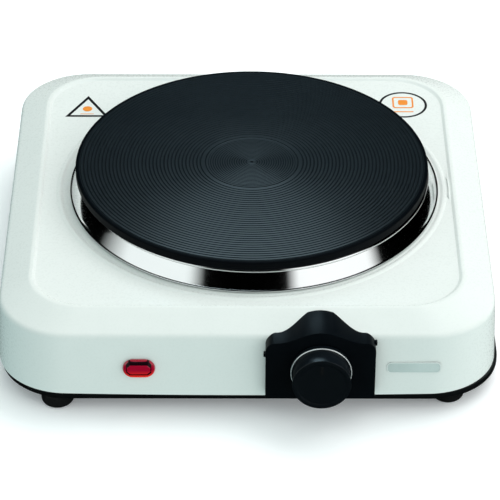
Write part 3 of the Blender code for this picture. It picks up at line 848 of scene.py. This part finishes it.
def tray_cutters():
    """Cutters for the vent slots, and for the screw holes over the feet."""
    first = -(SLOT_COLUMNS - 1) / 2 * SLOT_PITCH
    columns = [first + i * SLOT_PITCH for i in range(SLOT_COLUMNS)]
    outlines = [rounded_box(SLOT_WIDTH, SLOT_LENGTH, 1.7, x, y) for y in SLOT_ROWS for x in columns]
    for name in FEET:
        place = middle_of(name)
        outlines.append(circle(2.1, place.x, place.y, 20))
    cutters = []
    for i, outline in enumerate(outlines):
        mesh = outline_mesh(f"slug_{i}", [outline], 10)
        cutters.append(add(f"slug_{i}", mesh, at=(0, 0, TRAY_BOTTOM)))
    return cutters


def make_feet():
    """Rubber feet, each with a wide recess below and a screw hole through it."""
    for name in FEET:
        place, size = middle_of(name), size_of(name)
        radius, top = size.x / 2, size.z
        profile = rounded_path(
            [
                (2.2, top),
                (radius, top),
                (radius, 1.6),
                (radius - 1.8, 0),
                (4.4, 0),
                (4.2, 3.4),
                (2.2, 3.4),
            ],
            (0.8, 2.5, 1.2, 0.4, 0.2),
        )
        at = (place.x, place.y, 0)
        foot = turned(f"rubber_{name}", profile, RUBBER, 64, at=at, closed=True)
        show(foot, "rubber", name)


# ---------------------------------------------------------------- plate and ring

GROOVE_PITCH = 1.9
GROOVE_DEPTH = 0.2
DISC = 24.3
FINE_PITCH = 1.25
FINE_DEPTH = 0.14
GROOVE_SECTION = ((0.0, 0.0), (0.6, 0.0), (0.72, 0.7), (0.8, 1.0), (0.88, 0.7))
COIL_CHANNEL_TOP = 62.0
STUD_HOLE_TOP = 61.0


def grooves(start, end, pitch, depth):
    """Points of a grooved face from start to end radius: flat lands and narrow grooves."""
    count = round((end - start) / pitch)
    step = (end - start) / count
    points = []
    for i in range(count):
        for share, drop in GROOVE_SECTION:
            points.append((start + (i + share) * step, PLATE_TOP - depth * drop))
    return points


def plate_top():
    """The plate's top in section: a centre dot, a finely grooved disc, and coarser grooves."""
    dot = [(0, PLATE_TOP - 0.5), (0.5, PLATE_TOP - 0.4), (0.9, PLATE_TOP)]
    disc = grooves(2.0, DISC - 1.2, FINE_PITCH, FINE_DEPTH)
    disc_edge = [(DISC - 0.3, PLATE_TOP), (DISC, PLATE_TOP - 0.3), (DISC + 0.3, PLATE_TOP)]
    rest = grooves(DISC + 1.2, PLATE_RADIUS - 1.9, GROOVE_PITCH, GROOVE_DEPTH)
    return dot + disc + disc_edge + rest


def make_plate():
    """The iron plate, with a channel for the coil and a hole for the stud on its underside."""
    rim = rounded_path(
        [
            (PLATE_RADIUS - 1.8, PLATE_TOP),
            (PLATE_RADIUS, PLATE_TOP),
            (PLATE_RADIUS - 0.1, RIM_BOTTOM),
            (86.0, RIM_BOTTOM),
            (86.0, PLATE_UNDER),
            (82.0, PLATE_UNDER),
            (82.0, COIL_CHANNEL_TOP),
            (38.0, COIL_CHANNEL_TOP),
            (38.0, PLATE_UNDER),
            (34.0, PLATE_UNDER),
            (34.0, STUD_HOLE_TOP),
            (12.0, STUD_HOLE_TOP),
            (12.0, PLATE_UNDER),
            (2.8, PLATE_UNDER),
            (2.8, STUD_HOLE_TOP),
        ],
        (1.1, 0.9, 0.3) + (0.5,) * 9 + (0.3,),
        steps=4,
    )
    profile = plate_top() + rim + [(0, STUD_HOLE_TOP)]
    plate = turned("ribbed_plate", profile, IRON, 192, at=(PLATE.x, 0, 0))
    smooth(plate.data, 8)  # keeps the lands between the grooves flat
    rim_slot, groove_shade_slot = 1, 2
    plate.data.materials.append(IRON_RIM)
    plate.data.materials.append(IRON_GROOVE_SHADE)
    flat_edge = (PLATE_RADIUS - 1.6) * MM
    # The rim gets the rim's black. Every other sloping face gets the darker iron, painted shade in
    # the grooves.
    for face in plate.data.polygons:
        if math.hypot(face.center.x, face.center.y) > flat_edge:
            face.material_index = rim_slot
        elif abs(face.normal.z) < 0.99:
            face.material_index = groove_shade_slot
    show(plate, "cast_iron", "hotplate")


def make_ring():
    """The chrome ring: a rolled bead under the plate's rim, a cone, and a foot on the deck."""
    top = RING_TOP
    foot = RING_BOTTOM
    outer = rounded_path(
        [
            (88.6, top),
            (91.3, top),
            (91.9, top - 0.7),
            (91.5, top - 1.2),
            (95.6, foot + 1.7),
            (96.2, foot + 0.6),
            (RING_RADIUS, foot + 0.6),
            (RING_RADIUS, foot),
            (95.9, foot),
            (95.1, foot + 1.0),
            (90.9, top - 1.4),
            (90.7, top - 0.6),
            (88.6, top - 0.6),
        ],
        (0.5, 0.4, 0.5, 0.9, 0.5, 0.25, 0.25, 0.5, 0.5, 0.3, 0.3),
        steps=4,
    )
    ring = turned("chrome_ring", outer, CHROME, 256, at=(RING.x, 0, 0), closed=True)
    show(ring, "chrome", "spill_ring")


# ---------------------------------------------------------------- knob and surround

GRIP_RADIUS = 14.0
GRIP_END = 136.0
SKIRT_FACE = 135.9
SKIRT_CHAMFER = 135.5
BORE_RADIUS = 3.4
BORE_END = 142.0
BEZEL_BACK = 112.6


def make_knob():
    """The knob, turned about its own axis, with a light grey chamfer on its skirt as a painted
    highlight, and a pointer.
    """
    front = KNOB_FRONT
    profile = rounded_path(
        [
            (0, front - 0.35),
            (11.8, front - 0.30),
            (12.6, front),
            (14.6, front),
            (GRIP_RADIUS, GRIP_END + 2.6),
            (GRIP_RADIUS, GRIP_END),
            (SKIRT - 0.3, SKIRT_FACE),
            (SKIRT, SKIRT_CHAMFER),
            (SKIRT, KNOB_BACK),
            (BORE_RADIUS, KNOB_BACK),
            (BORE_RADIUS, BORE_END),
            (0, BORE_END),
        ],
        (0.6, 0.5, 0.35, 3.0, 0.6, 0.15, 0.15, 0.4, 0.3, 0.3),
    )
    at, turn = (KNOB.x, 0, KNOB.z), (RIGHT_ANGLE, 0, 0)
    knob = turned("knob_cap", profile, BLACK_PLASTIC, 128, at=at, turn=turn)
    knob.data.materials.append(SKIRT_PAINTED_HIGHLIGHT)
    # The skirt's chamfer gets the light grey, a painted highlight.
    for face in knob.data.polygons:
        radius = math.hypot(face.center.x, face.center.y) / MM
        out = face.center.z / MM
        if radius > SKIRT - 0.35 and SKIRT_CHAMFER - 0.15 < out < SKIRT_FACE + 0.05:
            face.material_index = 1
    show(knob, "black_plastic", "knob", body="control")
    line = rounded_box(1.6, 5.0, 0.8, KNOB.x, KNOB.z + 8.4)
    pointer = front_plate("knob_pointer", [line], front - 0.45, front - 0.12, BLACK_INK)
    show(pointer, "black_plastic", body="control")


def bezel_outline():
    """The surround seen from the front: square shoulders and a domed top."""
    half = BEZEL_HALF - 0.3
    bottom, shoulder, dome = -18.2, 15.5, 21.7
    reach, steps = 21.5, 20
    side = arc(half - 1.6, bottom + 1.6, 1.6, -90, 0)
    side += arc(half - 5, shoulder - 5, 5, 0, 88, 10)
    for i in range(steps):
        x = reach * (1 - i / steps)
        side.append((x, shoulder + (dome - shoulder) * (1 + math.cos(math.pi * x / reach)) / 2))
    outline = side + [(0, dome)] + [(-x, z) for x, z in reversed(side)]
    return [(x + KNOB.x - 0.3, z + KNOB.z) for x, z in outline]


def make_bezel():
    """The knob's surround, cut to fit the body, with a small moulding tab at either side."""
    loops = [bezel_outline(), circle(8.6, KNOB.x, KNOB.z)]
    bezel = front_plate("knob_surround", loops, BEZEL_BACK, BEZEL_FRONT)
    bevel(bezel, 1.3, 4)
    levels = [square_section(inset, z) for inset, z in wall_profile(grow=0.15)]
    cut(bezel, lofted("body_blank", levels, cap_first=True, cap_last=True))
    bezel.data.materials.append(BEZEL_PLASTIC)
    show(bezel, "black_plastic", "bezel")
    back, front = BEZEL_FRONT - 6.0, BEZEL_FRONT - 4.0
    for side, x, z in (("left", -BEZEL_HALF - 0.3, 5.3), ("right", BEZEL_HALF - 0.6, 12.4)):
        outline = rounded_box(1.4, 2.2, 0.5, KNOB.x + x, KNOB.z + z, 4)
        tab = front_plate(f"bezel_tab_{side}", [outline], back, front, BEZEL_PLASTIC)
        show(tab, "black_plastic")


# ---------------------------------------------------------------- lamp, badge, prints, gland


def stadium(width, height):
    """The lens's outline, seen from the front."""
    return rounded_box(width, height, height / 2, LAMP.x, LAMP.z, 14)


def octagon(width, height, rise):
    """Long sides and chamfered corners, with its middle a little above the lens's."""
    across, up, chamfer = width / 2, height / 2, 1.6
    upper = [
        (across, up - chamfer),
        (across - chamfer, up),
        (chamfer - across, up),
        (-across, up - chamfer),
    ]
    points = upper + [(-x, -z) for x, z in upper]
    return [(x + LAMP.x, z + LAMP.z + rise) for x, z in points]


def stacked(name, levels, mat):
    """A stack of outlines in X and Z, each at its own distance in front of the body's middle."""
    rings = [[(x, -out, z) for x, z in outline] for out, outline in levels]
    return lofted(name, rings, mat, cap_first=True, cap_last=True)


def make_lamp():
    """A red lens: a rounded flange, and on it a raised window whose sloping facets are painted
    dark, as painted shade and a painted reflection of dark surroundings.
    """
    seat = wall_front(LAMP.x, LAMP.z) + 0.1
    rounding = ((0.0, 0.0), (0.0, 0.3), (0.15, 1.0), (0.6, 1.6), (1.3, 2.05), (2.2, 2.2))
    levels = [
        (seat + out, stadium(LENS_WIDTH - 2 * inset, LENS_HEIGHT - 2 * inset))
        for inset, out in rounding
    ]
    flange = stacked("lens_flange", levels, RED_LENS)
    smooth(flange.data)
    show(flange, "red_lens", "lamp_lens")
    stem = [(out, stadium(12.9, 6.8)) for out in (117.0, seat)]
    show(stacked("lens_stem", stem, RED_LENS), "red_lens")
    slopes = ((0.4, 12.8, 8.8, 0.8), (1.9, 12.7, 7.9, 0.85), (2.75, 12.3, 6.3, 0.6))
    facets = [(seat + out, octagon(width, height, rise)) for out, width, height, rise in slopes]
    # The sloping facets are painted dark: painted shade and painted reflection.
    show(stacked("lens_facets", facets, RED_PAINTED_SHADE), "red_lens")
    panes = ((2.5, 11.6, 5.4), (2.8, 11.6, 5.4), (2.9, 11.4, 5.2))
    window = [(seat + out, octagon(width, height, 0.8)) for out, width, height in panes]
    show(stacked("lens_window", window, RED_LENS), "red_lens")


def make_badge():
    """A blank grey plate with a lighter edge round it."""
    back = wall_front(BADGE.x, BADGE.z) + 0.05
    front = back + 0.45
    inner, middle, outer = [
        rounded_box(26.3 + grow, 6.0 + grow, 2.2 + grow / 2, BADGE.x, BADGE.z)
        for grow in (-0.4, 0.0, 0.4)
    ]
    plate = front_plate("badge_plate", [middle], back, front - 0.1, GREY_LABEL)
    bevel(plate, 0.15, 2)
    show(plate, "grey_label", "badge")
    edge = front_plate("badge_edge", [outer, inner], back, front, LABEL_EDGE)
    show(edge, "grey_label")


def triangle(apex, half_width, height, inset):
    """An upright isosceles triangle. The inset moves all of its sides in by the same distance."""
    x, y = apex
    slope = math.hypot(half_width, height)
    top = y - inset * slope / half_width
    bottom = y - height + inset
    half = (top - bottom) * half_width / height
    return [(x, top), (x - half, bottom), (x + half, bottom)]


def make_prints():
    """Plain stand-ins for the printed marks: an outline each, with a plain orange shape in it."""
    x, y = -87.6, 90.6
    x2, y2 = 86.4, 84.4
    prints = {
        "print_triangle": ([triangle((x, y), 11.9, 21.6, inset) for inset in (0, 1.6)], BLACK_INK),
        "print_disc": ([circle(2.6, x, y - 13.4)], ORANGE_INK),
        "print_bar": ([rounded_box(7.4, 0.5, 0.25, x, y - 18.6)], ORANGE_INK),
        "print_circle": ([circle(radius, x2, y2 - 2.4) for radius in (13.3, 12.0)], BLACK_INK),
        "print_frame": (
            [rounded_box(11.6, 11.6, 1.8, x2, y2), rounded_box(9.8, 9.8, 1.1, x2, y2)],
            ORANGE_INK,
        ),
        "print_centre": ([rounded_box(5.2, 5.2, 1.2, x2, y2)], ORANGE_INK),
        "print_line": ([rounded_box(11.0, 0.9, 0.45, x2, y2 - 9.6)], ORANGE_INK),
    }
    for name, (loops, ink) in prints.items():
        show(flat_print(name, loops, DECK, ink), "enamel")


def make_gland():
    """The open cord sleeve at the back."""
    seat = wall_front(HALF, GLAND.z) + 0.6
    profile = rounded_path(
        [
            (3.6, GLAND_REAR),
            (5.6, GLAND_REAR),
            (6.8, seat + 2.4),
            (9.6, seat + 2.0),
            (9.8, seat),
            (7.0, seat),
            (7.0, 117.0),
            (3.6, 117.0),
        ],
        (0.7, 0.6, 0.8, 0.3, 0.3, 0.5),
    )
    at, turn = (GLAND.x, 0, GLAND.z), (-RIGHT_ANGLE, 0, 0)
    gland = turned("gland_sleeve", profile, BLACK_PLASTIC, 64, at=at, turn=turn, closed=True)
    show(gland, "black_plastic", "cord_gland")


def paint_cad_nodes():
    """Gives every CAD node that stays its procedural material."""
    materials = inner_materials()
    slots = {part["node"]: part["material_slot"] for part in frame["record"]["subparts"]}
    for name, obj in frame["nodes"].items():
        if obj.hide_render:
            continue
        obj.data.materials.clear()
        obj.data.materials.append(materials[slots[name]])
        smooth(obj.data, 40)


# ---------------------------------------------------------------- studio

CARD_DISTANCE = 1.9
CARD_STEPS = 24


def studio_material(name, color, strength):
    """A reflection card's light, dimmed by the card's own shine values."""
    mat = bpy.data.materials.new(name)
    mat.use_nodes = True
    tree = mat.node_tree
    tree.nodes.clear()
    shine = node(tree, "ShaderNodeAttribute", attribute_name="shine")
    scaled = node(tree, "ShaderNodeMath", operation="MULTIPLY")
    scaled.inputs[1].default_value = strength
    light = node(tree, "ShaderNodeEmission", Color=(*color, 1.0))
    output = node(tree, "ShaderNodeOutputMaterial")
    tree.links.new(shine.outputs["Fac"], scaled.inputs[0])
    tree.links.new(scaled.outputs["Value"], light.inputs["Strength"])
    tree.links.new(light.outputs["Emission"], output.inputs["Surface"])
    mat.cycles.emission_sampling = "FRONT_BACK"
    return mat


def floor_material():
    """Pale paper, a little self-lit so that it stays white outside the soft shadow."""
    mat, tree, shader = new_material("floor_paper")
    grain = noise(tree, 60.0)
    paper = ramp(tree, grain, (0.95, 0.955, 0.97), (0.97, 0.975, 0.99))
    tree.links.new(paper, shader.inputs["Base Color"])
    shader.inputs["Roughness"].default_value = 0.9
    shader.inputs["Specular IOR Level"].default_value = 0.1
    shader.inputs["Emission Color"].default_value = (0.94, 0.96, 1.0, 1.0)
    shader.inputs["Emission Strength"].default_value = 0.15
    mat.cycles.emission_sampling = "NONE"
    return mat


def make_floor():
    """The floor is seen and shadowed. The world and the cards stand in for its bounce."""
    bpy.ops.mesh.primitive_plane_add(size=12.0, location=(0, 0, 0))
    floor = bpy.context.object
    floor.name = "floor"
    floor.data.materials.append(floor_material())
    floor.visible_diffuse = False
    floor.visible_glossy = False


def card(name, bearings, elevations, strength, fade, color=(1.0, 1.0, 1.0)):
    """A curved card seen only in reflections.

    It stands on a cylinder round the object, between two bearings and two
    elevations in degrees. Bearings run from the front towards the right. The
    card dims to nothing over a share of its width at either end.
    """
    bm = bmesh.new()
    shine = bm.verts.layers.float.new("shine")
    rows = []
    for elevation in elevations:
        height = CARD_DISTANCE * math.tan(math.radians(elevation))
        row = []
        for i in range(CARD_STEPS + 1):
            share = i / CARD_STEPS
            bearing = math.radians(bearings[0] + (bearings[1] - bearings[0]) * share)
            x, y = CARD_DISTANCE * math.sin(bearing), -CARD_DISTANCE * math.cos(bearing)
            vert = bm.verts.new((x, y, height))
            vert[shine] = min(1.0, share / fade[0], (1 - share) / fade[1])
            row.append(vert)
        rows.append(row)
    lower, upper = rows
    for i in range(CARD_STEPS):
        bm.faces.new((lower[i], lower[i + 1], upper[i + 1], upper[i]))
    stage_card(bm, name, color, strength, (MIDDLE + Vector((0, 0, PLATE_TOP))) * MM)


def stage_card(bm, name, color, strength, at=(0, 0, 0)):
    """Puts a finished card in the studio, where only reflections see it."""
    mesh = bpy.data.meshes.new(name)
    bm.to_mesh(mesh)
    bm.free()
    mesh.materials.append(studio_material(name, color, strength))
    obj = bpy.data.objects.new(name, mesh)
    obj.location = at
    bpy.context.scene.collection.objects.link(obj)
    obj.visible_camera = False
    obj.visible_diffuse = False
    obj.visible_shadow = False
    obj.visible_transmission = False


def level_card(name, across, along, height, strength, color):
    """A level card, seen only in reflections. Its sides and its height are in metres."""
    bm = bmesh.new()
    shine = bm.verts.layers.float.new("shine")
    (left, right), (front, back) = across, along
    corners = ((left, front), (right, front), (right, back), (left, back))
    verts = [bm.verts.new((x, y, height)) for x, y in corners]
    for vert in verts:
        vert[shine] = 1.0
    bm.faces.new(verts)
    stage_card(bm, name, color, strength)


def area_light(name, place, size, power, color):
    """A soft lamp. Reflections see the cards in its stead."""
    data = bpy.data.lights.new(name, "AREA")
    data.shape = "RECTANGLE"
    data.size, data.size_y = size
    data.energy = power
    data.color = color
    obj = bpy.data.objects.new(name, data)
    obj.location = place
    obj.rotation_euler = (-Vector(place)).to_track_quat("-Z", "Y").to_euler()
    obj.visible_glossy = False
    bpy.context.scene.collection.objects.link(obj)


def make_lights():
    area_light("key_behind", (0.6, 0.72, 1.65), (2.0, 1.2), 20.5, (1.0, 0.97, 0.97))
    area_light("fill_right", (1.5, -0.7, 0.7), (1.6, 1.2), 8.0, (1.0, 0.98, 0.98))
    area_light("fill_front", (0.1, -1.2, 1.6), (2.0, 1.2), 3.8, (1.0, 1.0, 1.0))


def make_world():
    """Even light from above, and the floor's bounce from below. Reflections don't see it."""
    world = bpy.data.worlds.new("studio")
    world.use_nodes = True
    tree = world.node_tree
    place = node(tree, "ShaderNodeTexCoord")
    split = node(tree, "ShaderNodeSeparateXYZ")
    tree.links.new(place.outputs["Generated"], split.inputs["Vector"])
    level = ramp(tree, split.outputs["Z"], (0.74, 0.88, 0.86), (0.61, 0.675, 0.65), 0.0, 0.05)
    across = node(tree, "ShaderNodeMapRange")
    across.inputs["From Min"].default_value = -1.0
    tree.links.new(split.outputs["X"], across.inputs["Value"])
    sides = ramp(tree, across.outputs["Result"], (0.55, 0.68, 0.70), (1.0, 1.0, 1.0), 0.0, 0.5)
    color = node(tree, "ShaderNodeMixRGB", blend_type="MULTIPLY", Fac=1.0)
    tree.links.new(level, color.inputs["Color1"])
    tree.links.new(sides, color.inputs["Color2"])
    tree.links.new(color.outputs["Color"], tree.nodes["Background"].inputs["Color"])
    tree.nodes["Background"].inputs["Strength"].default_value = 1.22
    world.cycles_visibility.glossy = False
    bpy.context.scene.world = world


def make_cards():
    card("card_right", (19, 78), (3, 50), 1.15, (0.12, 0.14), color=(0.97, 1.0, 0.99))
    card("card_left", (-99, -29), (3, 50), 1.05, (0.30, 0.14), color=(0.93, 1.0, 0.98))
    card("card_far_right", (126, 148), (-8, 8), 0.3, (0.3, 0.3))
    card("card_far_left", (-150, -130), (-8, 8), 0.3, (0.3, 0.3))
    card("card_high", (-75, 20), (54, 63), 2.1, (0.3, 0.3), color=(0.80, 0.95, 1.0))
    level_card("card_ceiling", (-0.06, 0.06), (0.05, 0.13), 0.20, 5.0, (0.60, 0.86, 1.0))


# Camera, from a least-squares fit to the outlines of the plate and the body. The
# distance and the aim are in millimetres, from the body's middle at the wall's foot.
CAMERA_TURN = math.radians(-0.348)
CAMERA_PITCH = math.radians(34.772)
CAMERA_ROLL = math.radians(0.288)
CAMERA_DISTANCE = 1493.4
CAMERA_AIM = Vector((1.795, 0.0, -0.07))
CAMERA_FOCAL = 5.5664  # in frame widths
SENSOR = 36.0


def make_camera():
    ahead = Vector(
        (
            -math.sin(CAMERA_TURN) * math.cos(CAMERA_PITCH),
            math.cos(CAMERA_TURN) * math.cos(CAMERA_PITCH),
            -math.sin(CAMERA_PITCH),
        )
    )
    right = ahead.cross(Vector((0, 0, 1))).normalized()
    up = right.cross(ahead)
    cosine, sine = math.cos(CAMERA_ROLL), math.sin(CAMERA_ROLL)
    right, up = right * cosine + up * sine, up * cosine - right * sine
    place = CAMERA_AIM + Vector((0, 0, WALL_BOTTOM)) + MIDDLE - ahead * CAMERA_DISTANCE
    data = bpy.data.cameras.new("camera")
    data.sensor_width = SENSOR
    data.lens = SENSOR * CAMERA_FOCAL
    data.clip_start = 0.05
    camera = bpy.data.objects.new("camera", data)
    axes = Matrix((right, up, -ahead)).transposed()
    camera.matrix_world = Matrix.Translation(place * MM) @ axes.to_4x4()
    bpy.context.scene.collection.objects.link(camera)
    bpy.context.scene.camera = camera


def main():
    make_camera()
    make_housing()
    make_tray()
    make_feet()
    make_plate()
    make_ring()
    make_knob()
    make_bezel()
    make_lamp()
    make_badge()
    make_prints()
    make_gland()
    paint_cad_nodes()
    make_floor()
    make_lights()
    make_world()
    make_cards()
    bpy.context.scene.view_settings.view_transform = "Standard"


main()
